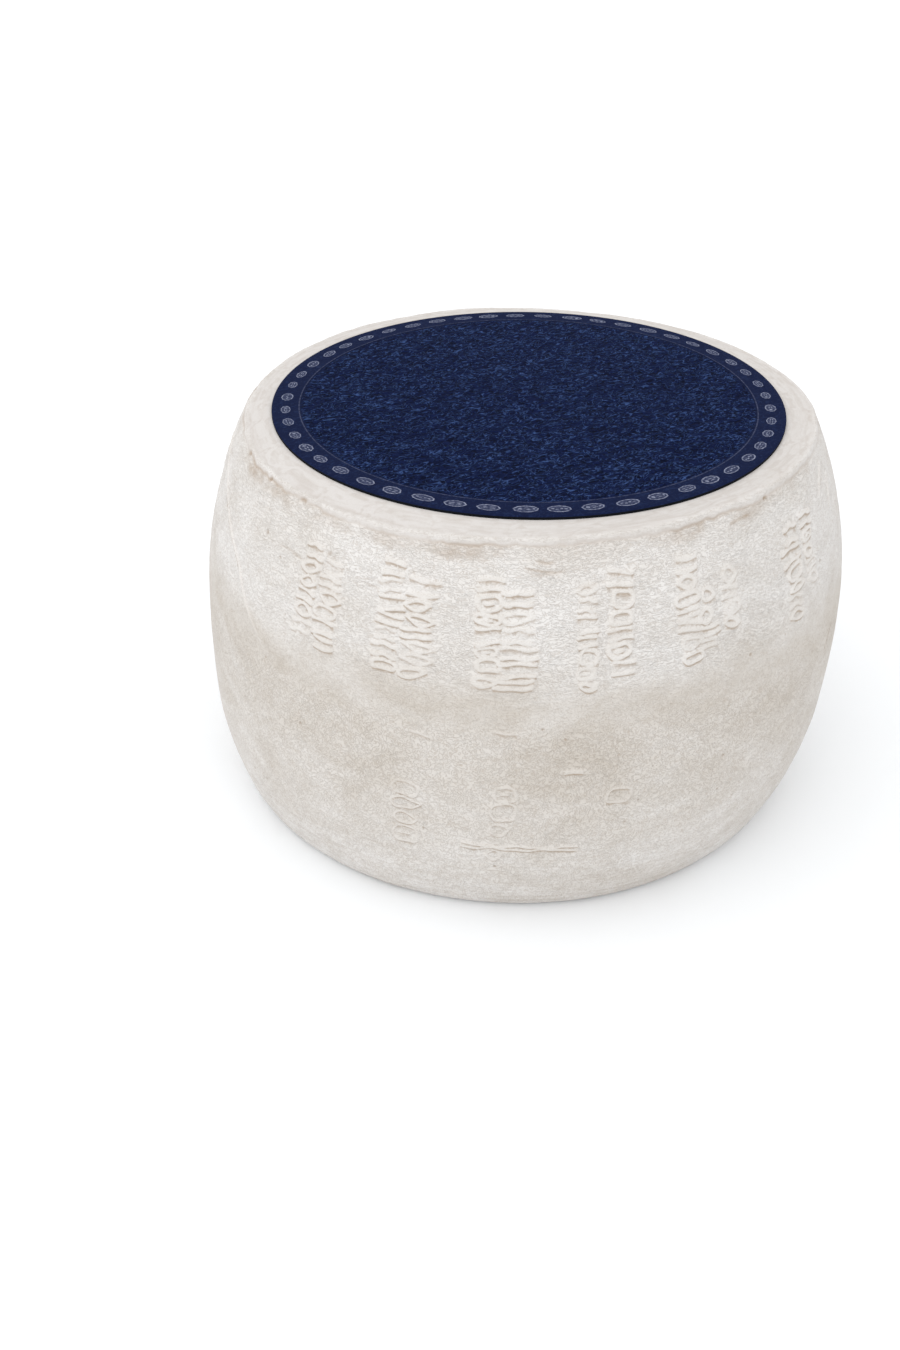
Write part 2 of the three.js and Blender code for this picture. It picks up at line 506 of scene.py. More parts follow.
@dataclass(frozen=True)
class Stack:
    """A column of figures that stand on each other.

    Attributes:
        angle: Degrees round the wheel of its middle.
        width: Its width in millimetres.
        low: Height of its foot above the base, in millimetres.
        high: Height of its top, in millimetres.
        pad: How far the ground between the strokes stands out, as a share of the relief.
    """

    angle: float
    width: float
    low: float = 174
    high: float = 236
    pad: float = 0.22

    def fill(
        self,
        figures: list[Figure],
        rows: tuple[float, float],
        stroke: float,
        relief: float,
        draw: np.random.Generator,
    ) -> Iterator[Mark]:
        """Pile figures up the column, each a little off its true place, size and turn.

        Args:
            figures: Which figures to draw from.
            rows: The least and greatest height of a figure, in millimetres.
            stroke: Width of the strokes.
            relief: How far they stand out.
            draw: Where the unevenness comes from.

        Yields:
            The marks, the lowest first.
        """
        foot = self.low
        while foot < self.high - rows[0]:
            row = draw.uniform(*rows)
            yield Mark(
                angle=self.angle + draw.normal(0, 0.25),
                z=(foot + row / 2) * MM,
                figure=figures[draw.integers(len(figures))],
                width=self.width * draw.uniform(0.85, 1.1) * MM,
                height=row * draw.uniform(0.95, 1.1) * MM,
                tilt=draw.normal(0, 4),
                stroke=stroke * draw.uniform(0.85, 1.15),
                relief=relief * draw.uniform(0.6, 1.1),
                pad=self.pad,
            )
            foot += row


@dataclass(frozen=True)
class MouldMarks:
    """What the mould leaves on the side: stacks of figures near the top, and a few fainter ones below.

    Attributes:
        front_stacks: The stacks round the front.
        back_angles: Degrees round the wheel of the first and the last stack at the back.
        back_count: How many stacks the back has.
        back_widths: The least and greatest width of a stack at the back, in millimetres.
        rows: The least and greatest height of a figure, in millimetres.
        stroke: Width of the strokes.
        relief: How far they stand out.
        low_stacks: The fainter stacks near the foot, with rows, strokes and relief of their own.
        long_marks: Degrees round the wheel, height and length in millimetres of each long mark.
        long_height: Height of a long mark.
        long_tilt: Degrees that it is turned by.
        seed: Picks one of many layouts.
    """

    front_stacks: tuple[Stack, ...] = (
        Stack(-38, 15, 180),
        Stack(-33.2, 16, 176),
        Stack(-21.5, 16, 176, 241),
        Stack(-16.5, 20),
        Stack(-5, 16),
        Stack(-0.3, 21),
        Stack(10.6, 12.6, 172),
        Stack(16.2, 14.4, 180),
        Stack(27.8, 16, 179),
        Stack(31.2, 11.6, 185, 226),
        Stack(35.8, 13, 192, 228),
        Stack(52.4, 18, 176),
        Stack(58, 14, 190),
    )
    back_angles: tuple[float, float] = (94, 268)
    back_count: int = 22
    back_widths: tuple[float, float] = (12, 20)
    rows: tuple[float, float] = (7, 11)
    stroke: float = 2.6 * MM
    relief: float = 1.0 * MM
    low_stacks: tuple[Stack, ...] = (
        Stack(-17.2, 19, 58, 105, 0),
        Stack(-1.4, 15.5, 72, 109, 0),
        Stack(17.2, 19, 95, 107, 0),
        Stack(-2, 12, 52, 62, 0),
        Stack(151, 19, 60, 106, 0),
        Stack(168, 16, 70, 108, 0),
    )
    low_rows: tuple[float, float] = (9, 14)
    low_stroke: float = 1.8 * MM
    low_relief: float = 0.85 * MM
    long_marks: tuple[tuple[float, float, float], ...] = ((1.8, 64, 70), (184, 62, 58))
    long_height: float = 5.5 * MM
    long_tilt: float = -1.5
    seed: int = 5

    def lay_out(self, form: WheelForm) -> list[Feature]:
        """Place every figure.

        Args:
            form: The wheel that carries the marks; not used.

        Returns:
            The marks, upper stacks first.
        """
        draw = np.random.default_rng(self.seed)
        lower = [Figure.LOOP, Figure.LEAF, Figure.DROP, Figure.NEST]
        upper = [Figure.BARS, Figure.BARS, Figure.BARS, Figure.RIPPLES, Figure.LEAF, *lower]
        angles = np.linspace(*self.back_angles, self.back_count)
        back = [Stack(angle, draw.uniform(*self.back_widths)) for angle in angles]
        marks: list[Feature] = []
        for stack in (*self.front_stacks, *back):
            marks += stack.fill(upper, self.rows, self.stroke, self.relief, draw)
        for stack in self.low_stacks:
            marks += stack.fill(lower, self.low_rows, self.low_stroke, self.low_relief, draw)
        shared = (self.long_height, self.long_tilt, self.low_stroke, self.low_relief)
        for angle, z, length in self.long_marks:
            marks.append(Mark(angle, z * MM, Figure.TWIST, length * MM, *shared))
        return marks


@dataclass(frozen=True)
class SkinWear:
    """Seams, nicks, folds and dimples that handling and ageing leave on the skin.

    Attributes:
        pit_count: How many small dimples are strewn over the side.
        fold_count: How many short folds lie under the lip.
        lip_nicks: Degrees round the wheel and width in millimetres of each nick in the lip.
        seams: Width and height in millimetres of each seam or scratch, and its route over the side.
        dirty_dents: Degrees round the wheel, and height, radius and depth in millimetres of each larger dent.
        seed: Picks one of many layouts.
    """

    pit_count: int = 130
    fold_count: int = 60
    lip_nicks: Route = ((-67.3, 3.0), (-55.3, 2.0), (-44.2, 3.6), (48, 2.4), (96, 3), (201, 4))
    seams: tuple[tuple[float, float, Route], ...] = (
        (1.8, 0.9, (
            (-92, 246), (-82, 235), (-75, 228), (-69.5, 220),
            (-62, 206), (-57, 195), (-54, 180), (-47, 155),
        )),
        (1.4, 0.5, ((74, 237), (72, 226), (70, 217))),
        (2.4, 0.6, ((72, 246), (70, 240), (68, 236), (66, 229))),
        (1.6, -0.6, ((67.7, 147), (66, 140), (64.6, 133))),
        (3.2, 1.1, ((7.6, 121.2), (9.2, 121.6), (11, 120.8))),
        (1.8, 0.6, ((-3.6, 148.6), (-1.5, 147.4), (0.6, 147.8))),
        (1.5, 0.5, ((-17, 142), (-15, 141), (-12.6, 139))),
        (1.5, 0.7, ((196, 216), (204, 190), (207, 158), (205, 130))),
    )
    dirty_dents: tuple[tuple[float, float, float, float], ...] = (
        (-50.9, 226.8, 1.8, 0.5),
        (-37.4, 223.5, 1.8, 0.35),
        (-34.7, 232.8, 2.2, 0.35),
        (-33.6, 231.4, 1.6, 0.3),
        (33.5, 84, 1.1, 0.4),
        (34.6, 149.3, 3.2, 0.2),
        (42.4, 145.4, 3.0, 0.22),
        (133, 150, 2.6, 0.3),
        (227, 118, 2.0, 0.4),
    )
    seed: int = 21

    def lay_out(self, form: WheelForm) -> list[Feature]:
        """Place the traces and dimples.

        Args:
            form: The wheel that carries them.

        Returns:
            The traces first, then the dimples.
        """
        wear: list[Feature] = []
        for width, height, route in self.seams:
            wear.append(Trace.through(form, route, width, height))
        draw = np.random.default_rng(self.seed)
        for _ in range(self.fold_count):
            angle, z = draw.uniform(0, 360), draw.uniform(222, 247)
            half, slope = draw.uniform(0.8, 3.4), draw.normal(0, 0.8)
            route = ((angle - half, z - slope), (angle, z + draw.normal(0, 0.6)), (angle + half, z + slope))
            wear.append(Trace.through(form, route, draw.uniform(1.0, 1.7), draw.uniform(-0.45, 0.2)))
        for _ in range(self.pit_count):
            angle, z = draw.uniform(0, 360), draw.uniform(30, 246) * MM
            wear.append(Pit(angle, z, draw.uniform(0.7, 1.5) * MM, draw.uniform(0.2, 0.6) * MM))
        for angle, z, radius, depth in self.dirty_dents:
            wear.append(Pit(angle, z * MM, radius * MM, depth * MM))
        return wear

    def nick(self, form: WheelForm, angle: np.ndarray) -> np.ndarray:
        """How much of the lip is missing: 1 in the middle of a nick and 0 away from them.

        Args:
            form: The wheel.
            angle: Degrees round the wheel, for each place.

        Returns:
            A share for each place.
        """
        missing = np.zeros(len(angle))
        for middle, width in self.lip_nicks:
            away = np.radians(np.abs((angle - middle + 180) % 360 - 180)) * form.rim_radius
            missing = np.maximum(missing, smooth_step(1.0, 0.3, away / (width * MM)))
        return missing


@dataclass(frozen=True)
class Skin:
    """Everything that stands out of the side or is sunk into it, measured at any place on it."""

    form: WheelForm
    features: tuple[Feature, ...]

    def visit(
        self, angle: np.ndarray, z: np.ndarray, margin: float
    ) -> Iterator[tuple[Feature, np.ndarray, np.ndarray, np.ndarray]]:
        """Go through the features, each with the places that it reaches.

        Args:
            angle: Degrees round the wheel, for each place.
            z: Height of each place.
            margin: How far beyond a feature to reach.

        Yields:
            The feature, the rows of the places, and their distances along and up the side from its middle.
        """
        order = np.argsort(angle)
        turned = angle[order]
        for feature in self.features:
            wide, high = feature.reach()
            radius = float(self.form.side_radius(feature.z))
            half = math.degrees((wide + margin) / radius)
            for middle in (feature.angle - 360, feature.angle, feature.angle + 360):
                first, last = np.searchsorted(turned, (middle - half, middle + half))
                rows = order[first:last]
                rows = rows[np.abs(z[rows] - feature.z) < high + margin]
                if len(rows):
                    yield feature, rows, np.radians(angle[rows] - middle) * radius, z[rows] - feature.z

    def near(self, angle: np.ndarray, z: np.ndarray, margin: float) -> np.ndarray:
        """Find the places that are on or beside a feature.

        Args:
            angle: Degrees round the wheel, for each place.
            z: Height of each place.
            margin: How far beside a feature still counts.

        Returns:
            For each place whether one is near.
        """
        found = np.zeros(len(z), bool)
        for _, rows, _, _ in self.visit(angle, z, margin):
            found[rows] = True
        return found

    def heights(self, angle: np.ndarray, z: np.ndarray) -> tuple[np.ndarray, np.ndarray]:
        """Measure what stands out and what is sunk.

        Args:
            angle: Degrees round the wheel, for each place.
            z: Height of each place.

        Returns:
            The height of what is raised, and the depth of what is sunk, below 0.
        """
        raised, sunk = np.zeros(len(z)), np.zeros(len(z))
        for feature, rows, u, v in self.visit(angle, z, 0):
            height = feature.height_at(u, v)
            raised[rows] = np.maximum(raised[rows], height)
            sunk[rows] = np.minimum(sunk[rows], height)
        return raised, sunk


# ---- finishes ----


class Coat(Enum):
    """How a coat of colour meets what lies under it."""

    COVER = "MIX"
    STAIN = "MULTIPLY"


class Surface:
    """A material while its nodes are put together."""

    def __init__(self, name: str) -> None:
        """Start the material from nothing but the place on the object.

        Args:
            name: The real material.
        """
        self.material = bpy.data.materials.new(name)
        self.material.use_nodes = True
        self.tree = self.material.node_tree
        self.tree.nodes.clear()
        self.place = self.add_node("TexCoord", output="Object")

    def add_node(
        self, kind: str, sockets: dict[str | int, object] | None = None, output: str = "", **settings: object
    ) -> Socket | None:
        """Add a node with its settings, and fill or link its input sockets.

        Args:
            kind: The node's type name, after "ShaderNode".
            sockets: Input socket names or numbers, each with a value, or with the output to link.
            output: Name of the output that is wanted, where it isn't the first in use.
            settings: The node's own properties.

        Returns:
            The output, or None where the node has none.
        """
        node = self.tree.nodes.new("ShaderNode" + kind)
        for name, value in settings.items():
            setattr(node, name, value)
        for name, value in (sockets or {}).items():
            if isinstance(value, Socket):
                self.tree.links.new(value, node.inputs[name])
            else:
                node.inputs[name].default_value = value
        if output:
            return node.outputs[output]
        return next((socket for socket in node.outputs if socket.enabled), None)

    def fold(self, place: Socket, size_mm: float, roughness: float, distortion: float) -> Socket:
        """Thin lines that wander, branch and end, as where a skin shrinks or a cloth crumples.

        Args:
            place: Where the lines are drawn.
            size_mm: How far apart they are.
            roughness: How uneven they are.
            distortion: How far they wander.

        Returns:
            0 along the lines, rising between them.
        """
        noise = {"Scale": 1 / (size_mm * MM), "Detail": 1.0, "Roughness": roughness, "Distortion": distortion}
        swell = self.add_node("TexNoise", {"Vector": place, **noise})
        centred = self.add_node("Math", {0: swell, 1: 2.0, 2: -1.0}, operation="MULTIPLY_ADD")
        return self.add_node("Math", {0: centred}, operation="ABSOLUTE")

    def paint(self, ground: str, *coats: tuple[Socket, str, Coat]) -> Socket:
        """Lay coats of colour over a ground.

        Args:
            ground: The colour under them all.
            coats: For each coat how thickly it lies, its colour, and how it meets what is under it.

        Returns:
            The colour.
        """
        colour = to_linear(ground)
        for cover, code, coat in coats:
            sockets = {"Factor": cover, "A": colour, "B": to_linear(code)}
            colour = self.add_node("Mix", sockets, data_type="RGBA", blend_type=coat.value)
        return colour

    def finish(
        self, colour: Socket, roughness: float, specular: float, normal: Socket | None = None
    ) -> bpy.types.Material:
        """Give the surface its colour and sheen, and close the material.

        Args:
            colour: Its colour.
            roughness: Its roughness.
            specular: How much it reflects straight on.
            normal: Its small relief, where it has any.

        Returns:
            The material.
        """
        sockets = {"Base Color": colour, "Roughness": roughness, "Specular IOR Level": specular}
        if normal is not None:
            sockets["Normal"] = normal
        self.add_node("OutputMaterial", {"Surface": self.add_node("BsdfPrincipled", sockets)})
        return self.material


@dataclass(frozen=True)
class CheeseRind:
    """Aged hard-cheese rind: brushed and oiled paste that has dried, wrinkled and caught a pale bloom.

    It gives the eye a chalky matt skin, full of short wrinkles that run round the wheel, with tan
    stains on the belly and brown painted shade in its creases and under every ledge.
    """

    name: str = "aged_cheese_rind"
    bloom: str = "#e0ddda"
    tan: str = "#c3bbb1"
    # Tone of the raised strokes, a little darker than the bloom: painted shade against the light they catch.
    stroke_shade_tone: str = "#d5d1cc"
    # Brown of the painted shade under ledges and in the lip's crease, groove and nicks.
    painted_shade_brown: str = "#a48f79"
    # Tint of the painted shade in the wrinkles' creases, and of the real streaks.
    crease: str = "#d6cdc4"
    # Tone of the smooth upper face, darker than the side: painted shade against the stronger light on top.
    rim: str = "#cfcbc8"
    grit_mm: float = 1.1
    flow_mm: float = 3.4
    worm_mm: float = 2.6
    streak_mm: float = 3.0
    bump_mm: float = 0.36

    def make(self, form: WheelForm) -> bpy.types.Material:
        """Build the material.

        Args:
            form: The wheel, whose heights place the stains.

        Returns:
            The material.
        """
        surface = Surface(self.name)
        add = surface.add_node
        height = add("SeparateXYZ", {"Vector": surface.place}, "Z")
        rise = add("Math", {0: height, 1: form.height}, operation="DIVIDE")
        smooth_face_shade, relief, painted_shade = (
            add("Attribute", output="Fac", attribute_name=name) for name in ("smooth_face_shade", "relief", "painted_shade")
        )
        grain = self.grain(surface, rise)
        covered = add("Math", {0: smooth_face_shade, 1: relief}, operation="MAXIMUM")
        strength = add("MapRange", {"Value": covered, "To Min": 0.8, "To Max": 0.08})
        bump = add("Bump", {"Height": grain, "Strength": strength, "Distance": self.bump_mm * MM})
        # Painted shade: the creases of the grain are darkened where its height is low.
        crease_shade = add("MapRange", {"Value": grain, "From Min": 0.7, "From Max": 0.15, "To Max": 0.55})
        # How thickly each painted shade lies: toned-down strokes, the darker upper face, and shade under
        # ledges.
        stroke_shade_cover, face_shade_cover, painted_shade_cover = (
            add("Math", {0: mask, 1: share}, operation="MULTIPLY")
            for mask, share in ((relief, 0.35), (smooth_face_shade, 0.8), (painted_shade, 0.8))
        )
        foot = add("MapRange", {"Value": rise, "From Min": 0.3, "From Max": 0.05})
        shown = add("Math", {0: foot, 1: smooth_face_shade}, operation="MAXIMUM")
        streaked = add("Math", {0: self.streaks(surface, height), 1: shown}, operation="MULTIPLY")
        colour = surface.paint(
            self.bloom,
            (self.stains(surface, rise), self.tan, Coat.COVER),
            (crease_shade, self.crease, Coat.STAIN),
            (stroke_shade_cover, self.stroke_shade_tone, Coat.COVER),
            (face_shade_cover, self.rim, Coat.COVER),
            (painted_shade_cover, self.painted_shade_brown, Coat.COVER),
            (streaked, self.crease, Coat.STAIN),
        )
        return surface.finish(colour, roughness=0.8, specular=0.2, normal=bump)

    def grain(self, surface: Surface, rise: Socket) -> Socket:
        """Grit between creases, which run round the wheel near the top and curl on the belly.

        Args:
            surface: The material.
            rise: How far up the wheel a place is, from 0 to 1.

        Returns:
            The height of the grain, 0 in the creases and up to 1 between them.
        """
        add = surface.add_node
        drift = add("TexNoise", {"Vector": surface.place, "Scale": 1 / (25 * MM), "Detail": 1.0}, "Color")
        sway = add("VectorMath", {0: drift, 1: (0.5, 0.5, 0.5)}, operation="SUBTRACT")
        reach = (8 * MM, 8 * MM, 8 * MM)
        wandering = add("VectorMath", {0: sway, 1: reach, 2: surface.place}, operation="MULTIPLY_ADD")
        flow = self.creases(surface, wandering, self.flow_mm, 2.8)
        worms = self.creases(surface, wandering, self.worm_mm, 1.1)
        belly = add("MapRange", {"Value": rise, "From Min": 0.72, "From Max": 0.55})
        wrinkled = add("Mix", {"Factor": belly, "A": flow, "B": worms})
        grit = add("TexNoise", {"Vector": wandering, "Scale": 1 / (self.grit_mm * MM), "Detail": 0.0})
        return add("Mix", {"Factor": 0.35, "A": wrinkled, "B": grit})

    def creases(self, surface: Surface, place: Socket, size_mm: float, stretch: float) -> Socket:
        """Thin creases, as where a drying skin shrinks.

        Args:
            surface: The material.
            place: Where they are drawn.
            size_mm: How far apart they are.
            stretch: How many times longer they are round the wheel than up it.

        Returns:
            0 along the creases, rising to 1 between them.
        """
        flat = surface.add_node("Mapping", {"Vector": place, "Scale": (1.0, 1.0, stretch)})
        folded = surface.fold(flat, size_mm, roughness=0.5, distortion=1.2)
        return surface.add_node("MapRange", {"Value": folded, "From Max": 0.15})

    def stains(self, surface: Surface, rise: Socket) -> Socket:
        """Clouds of tan, thickest where the belly was handled.

        Args:
            surface: The material.
            rise: How far up the wheel a place is, from 0 to 1.

        Returns:
            Their strength, up to 1.
        """
        add = surface.add_node
        under_marks, over_foot = (
            add(
                "MapRange",
                {"Value": rise, "From Min": bare, "From Max": full},
                interpolation_type="SMOOTHSTEP",
            )
            for bare, full in ((0.76, 0.6), (0.04, 0.46))
        )
        belly = add("Math", {0: under_marks, 1: over_foot}, operation="MULTIPLY")
        flat = add("Mapping", {"Vector": surface.place, "Scale": (1.0, 1.0, 1.7)})
        noise = {"Scale": 1 / (70 * MM), "Detail": 7.0, "Roughness": 0.74, "Distortion": 0.5}
        cloud = add("TexNoise", {"Vector": flat, **noise})
        clouded = add("Math", {0: belly, 1: 0.26, 2: cloud}, operation="MULTIPLY_ADD")
        return add("MapRange", {"Value": clouded, "From Min": 0.4, "From Max": 0.94})

    def streaks(self, surface: Surface, height: Socket) -> Socket:
        """Broken streaks that follow the wheel round, where the cloth of the mould dragged.

        Args:
            surface: The material.
            height: Height above the base.

        Returns:
            Their strength, up to 0.3.
        """
        add = surface.add_node
        level = add("VectorMath", {0: surface.place, 1: (1.0, 1.0, 0.0)}, operation="MULTIPLY")
        radius = add("VectorMath", {0: level}, operation="LENGTH")
        section = add("CombineXYZ", {"X": radius, "Y": height})
        drift = add("TexNoise", {"Vector": surface.place, "Scale": 1 / (40 * MM), "Detail": 2.0}, "Color")
        reach = (6 * MM, 6 * MM, 40 * MM)
        wandering = add("VectorMath", {0: drift, 1: reach, 2: section}, operation="MULTIPLY_ADD")
        lines = add("TexNoise", {"Vector": wandering, "Scale": 1 / (self.streak_mm * MM), "Detail": 2.0})
        return add("MapRange", {"Value": lines, "From Min": 0.58, "From Max": 0.36, "To Max": 0.3})


@dataclass(frozen=True)
class NavyLeatherette:
    """Coated cloth pressed with a crumpled leather grain.

    It gives the eye a deep, almost matt navy, with painted blue highlights along the ridges of its wrinkles
    and painted shade in the hollows of its grain.
    """

    name: str = "navy_leatherette"
    # Colour of the painted highlight along the ridges of the wrinkles.
    ridge: str = "#48639a"
    field: str = "#101b3f"
    # Colour of the painted shade in the hollows of the grain.
    hollow_shade: str = "#060b20"
    border: str = "#161e3b"
    grain_mm: float = 2.4
    ridge_mm: float = 6.0
    bump_mm: float = 0.8

    def make(self) -> bpy.types.Material:
        """Build the material."""
        surface = Surface(self.name)
        add = surface.add_node
        smooth = add("Attribute", output="Fac", attribute_name="border")
        turned = add("Mapping", {"Vector": surface.place, "Rotation": (0.0, 0.0, -0.6)})
        flat = add("Mapping", {"Vector": turned, "Scale": (0.75, 1.15, 1.0)})
        noise = {"Scale": 1 / (self.grain_mm * MM), "Detail": 1.0, "Distortion": 1.2}
        pebble = add("TexNoise", {"Vector": flat, **noise})
        ridges = add(
            "MapRange",
            {
                "Value": surface.fold(flat, self.ridge_mm, roughness=0.6, distortion=1.6),
                "From Max": 0.1,
                "To Min": 1.0,
                "To Max": 0.0,
            },
            interpolation_type="SMOOTHSTEP",
        )
        ground = add("MapRange", {"Value": pebble, "From Min": 0.36, "From Max": 0.6})
        # Painted highlight on the ridges, and the height that the bump uses.
        ridge_highlight_cover, height = (
            add("Math", {0: ridges, 1: pebble}, operation=operation) for operation in ("MULTIPLY", "ADD")
        )
        colour = surface.paint(
            self.hollow_shade,
            (ground, self.field, Coat.COVER),
            (ridge_highlight_cover, self.ridge, Coat.COVER),
            (smooth, self.border, Coat.COVER),
        )
        strength = add("MapRange", {"Value": smooth, "To Min": 0.8, "To Max": 0.1})
        bump = add("Bump", {"Height": height, "Strength": strength, "Distance": self.bump_mm * MM})
        return surface.finish(colour, roughness=0.6, specular=0.01, normal=bump)


@dataclass(frozen=True)
class MottledFinish:
    """A finish between two near colours.

    Attributes:
        name: The real material.
        pale: Its lighter colour.
        deep: Its darker colour.
        roughness: Its roughness.
        specular: How much it reflects straight on.
        mottle_mm: Size of its mottle.
    """

    name: str
    pale: str
    deep: str
    roughness: float
    specular: float
    mottle_mm: float

    def make(self) -> bpy.types.Material:
        """Build the material."""
        surface = Surface(self.name)
        noise = {"Scale": 1 / (self.mottle_mm * MM), "Detail": 2.0}
        mottle = surface.add_node("TexNoise", {"Vector": surface.place, **noise})
        patch = surface.add_node("MapRange", {"Value": mottle, "From Min": 0.35, "From Max": 0.65})
        colour = surface.paint(self.pale, (patch, self.deep, Coat.COVER))
        return surface.finish(colour, self.roughness, self.specular)


# The raw edge of the coated cloth is dull and nearly black, so the label gets a thin dark outline.
CUT_EDGE = MottledFinish("cut_edge_of_coated_cloth", "#101319", "#090b10", 0.8, 0.1, 1.5)
# Worn silver-grey foil, rubbed back to the navy in places.
FOIL = MottledFinish("rubbed_grey_foil", "#8b91a6", "#4d536c", 0.5, 0.05, 1.6)
# The foil's thin base coat, only a little paler than the leatherette.
FOIL_BASE = MottledFinish("foil_base_coat", "#464c66", "#222942", 0.6, 0.02, 1.6)
# Matt white card, which the floor of a product studio is covered with.
WHITE_CARD = MottledFinish("matt_white_card", "#f7f9fb", "#f7f9fb", 0.9, 0.0, 50.0)


# ---- pieces ----


@dataclass(frozen=True)
class Rind:
    """The wheel itself: a turned blank, settled out of true, with everything that stands out of its skin.

    Attributes:
        form: The wheel's form.
        marks: What the mould left on it.
        wear: What handling and ageing left on it.
        turns: Steps of the spin.
        fineness: How often the blank is subdivided.
        triangles: How many triangles are kept.
        ledge: How far under a raised edge the painted shade reaches.
        full_relief: The height that counts as fully raised.
        lip_reach: How far the lip hangs over the side at its mean, in millimetres, and how much that varies.
        lip_front: Degrees round the wheel where it hangs furthest.
        roll: Height of the lip's rolled edge, in millimetres.
        crease: Depth of the crease under it, in millimetres.
        gutter: Depth of the faint groove behind it, in millimetres.
        nick: Depth of its nicks, in millimetres.
        wrinkle: Height of the wrinkles over the whole side, in millimetres.
    """

    form: WheelForm
    marks: MouldMarks
    wear: SkinWear
    turns: int = 150
    fineness: int = 2
    triangles: int = 190_000
    ledge: float = 1.0 * MM
    full_relief: float = 0.8 * MM
    lip_reach: float = 2.4
    lip_front: float = 25
    roll: float = 0.6
    crease: float = 0.4
    gutter: float = 0.15
    nick: float = 0.8
    wrinkle: float = 0.12

    def build(self) -> bpy.types.Object:
        """Make the rind, dress it and let it stand for the wheel."""
        skin = Skin(self.form, (*self.marks.lay_out(self.form), *self.wear.lay_out(self.form)))
        rind = self.turn_blank()
        self.refine(rind, skin)
        self.shape_skin(rind, skin)
        rind.data.calc_loop_triangles()
        apply_modifier(rind, "DECIMATE", ratio=self.triangles / len(rind.data.loop_triangles))
        select_only(rind)
        bpy.ops.object.shade_smooth()
        rind.data.materials.append(CheeseRind().make(self.form))
        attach(rind, "root")
        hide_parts("cheese_wheel")
        return rind

    def turn_blank(self) -> bpy.types.Object:
        """Trace half the outline from one point, spin it round the axis, make it fine and close it."""
        outline = self.form.outline()
        bpy.ops.object.select_all(action="DESELECT")
        bpy.ops.mesh.primitive_plane_add(size=MM, location=(0, -outline[0][0], outline[0][1]))
        blank = bpy.context.object
        blank.name = blank.data.name = "cheese_rind"
        bpy.ops.object.transform_apply(location=True)
        bpy.ops.object.mode_set(mode="EDIT")
        bpy.ops.mesh.select_mode(type="VERT")
        bpy.ops.mesh.select_all(action="SELECT")
        bpy.ops.mesh.merge(type="CENTER")
        for (r0, z0), (r1, z1) in itertools.pairwise(outline):
            bpy.ops.mesh.extrude_vertices_move(TRANSFORM_OT_translate={"value": (0, r0 - r1, z1 - z0)})
        bpy.ops.mesh.select_all(action="SELECT")
        bpy.ops.mesh.spin(steps=self.turns, angle=2 * math.pi, center=(0, 0, 0), axis=(0, 0, 1))
        bpy.ops.mesh.select_all(action="SELECT")
        bpy.ops.mesh.remove_doubles(threshold=0.01 * MM)
        bpy.ops.object.mode_set(mode="OBJECT")
        apply_modifier(blank, "SUBSURF", levels=self.fineness, render_levels=self.fineness)
        bpy.ops.object.mode_set(mode="EDIT")
        bpy.ops.mesh.select_all(action="SELECT")
        bpy.ops.mesh.fill_holes(sides=0)
        bpy.ops.mesh.select_all(action="SELECT")
        bpy.ops.mesh.normals_make_consistent(inside=False)
        bpy.ops.object.mode_set(mode="OBJECT")
        return blank

    def refine(self, rind: bpy.types.Object, skin: Skin) -> None:
        """Divide the faces under the marks and along the lip more finely than the rest.

        Args:
            rind: The turned blank.
            skin: What is to be raised on it.
        """
        for margin, lip_reach in ((2.5 * MM, 14 * MM), (0.6 * MM, 7 * MM)):
            x, y, z = read_rows(rind.data.polygons, "center").T
            past_rim = self.past_rim(np.hypot(x, y), z)
            chosen = skin.near(np.degrees(np.arctan2(x, -y)), z, margin) & (past_rim > 0)
            select_faces(rind, chosen | (np.abs(past_rim - MM) < lip_reach))
            bpy.ops.mesh.subdivide(number_cuts=1)
            bpy.ops.object.mode_set(mode="OBJECT")

    def past_rim(self, radius: np.ndarray, z: np.ndarray) -> np.ndarray:
        """How far places lie past the rim: along the side above 0, and inwards along the upper face below 0.

        Args:
            radius: The radius of each place.
            z: The height of each place.

        Returns:
            A distance for each place.
        """
        return (self.form.height - z) - (self.form.rim_radius - radius).clip(0)

    def shape_skin(self, rind: bpy.types.Object, skin: Skin) -> None:
        """Raise the marks, the lip and the unevenness of the skin, and settle the whole out of true.

        Args:
            rind: The fine turned blank.
            skin: What is to be raised on it.
        """
        form = self.form
        points = read_rows(rind.data.vertices, "co")
        normals = read_rows(rind.data.vertices, "normal")
        x, y, z = points.T
        radius = np.hypot(x, y)
        angle = np.degrees(np.arctan2(x, -y))
        standing = smooth_step(0, 7 * MM, z)

        reach = self.lip_reach + self.lip_reach * np.cos(np.radians(angle - self.lip_front))
        ragged = 1.2 * soft_noise(points, 18 * MM, 9) + 0.9 * soft_noise(points, 4 * MM, 10)
        past_lip = self.past_rim(radius, z) - MM * (reach + ragged)
        on_side = smooth_step(-0.4 * MM, 0.6 * MM, past_lip)
        patchy = smooth_step(-0.6, 0.4, soft_noise(points, 30 * MM, 12))
        missing = self.wear.nick(form, angle) * bell(past_lip, 0, 1.4 * MM)
        crease = patchy * bell(past_lip, 0, 0.9 * MM)
        roll = bell(past_lip, -3.0 * MM, 1.7 * MM) * (0.8 + 0.4 * patchy)
        gutter = (1 - patchy) * bell(past_lip, -6.8 * MM, 0.8 * MM)
        lip = self.roll * roll - self.crease * crease - self.gutter * gutter - self.nick * missing

        raised, sunk = skin.heights(angle, z)
        above, _ = skin.heights(angle, z + self.ledge)
        relief = raised * (1 + 0.3 * soft_noise(points, 9 * MM, 11)) * on_side
        # Painted shade under each raised edge and inside dents and grooves.
        painted_shade = smooth_step(0.2, 0.9, (above - raised) / self.full_relief) - sunk / self.full_relief
